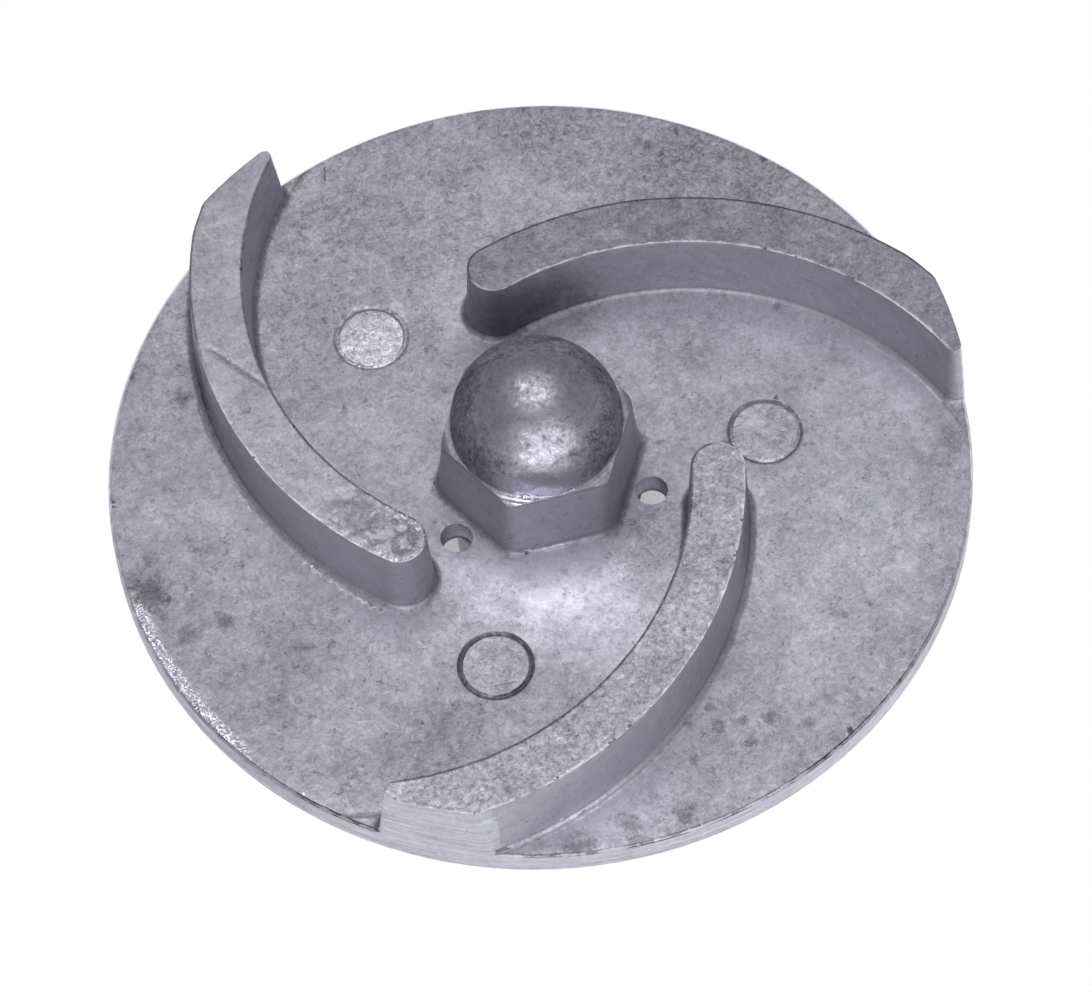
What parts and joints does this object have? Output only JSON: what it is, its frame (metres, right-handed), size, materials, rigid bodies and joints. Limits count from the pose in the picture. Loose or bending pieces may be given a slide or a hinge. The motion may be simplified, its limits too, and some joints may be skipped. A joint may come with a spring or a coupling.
{
  "type": "pump impeller",
  "caption": "Semi-open pump impeller: a flat disc with backswept, round-nosed vanes, a domed spanner hexagon and a rear hub with a blind tapped shaft bore.",
  "frame": {"origin": "on the shaft axis at the hub's end face, which the casting stands on", "axes": "+Z along the shaft towards the water inlet, out of the dome; +Y through the middle of one vane's nose"},
  "size_m": [0.112, 0.112, 0.0402],
  "materials": {
    "cast_aluminium": "matte as-cast, with the rim and hub turned"
  },
  "bodies": {
    "root": {"impeller": "cast_aluminium"}
  },
  "joints": []
}
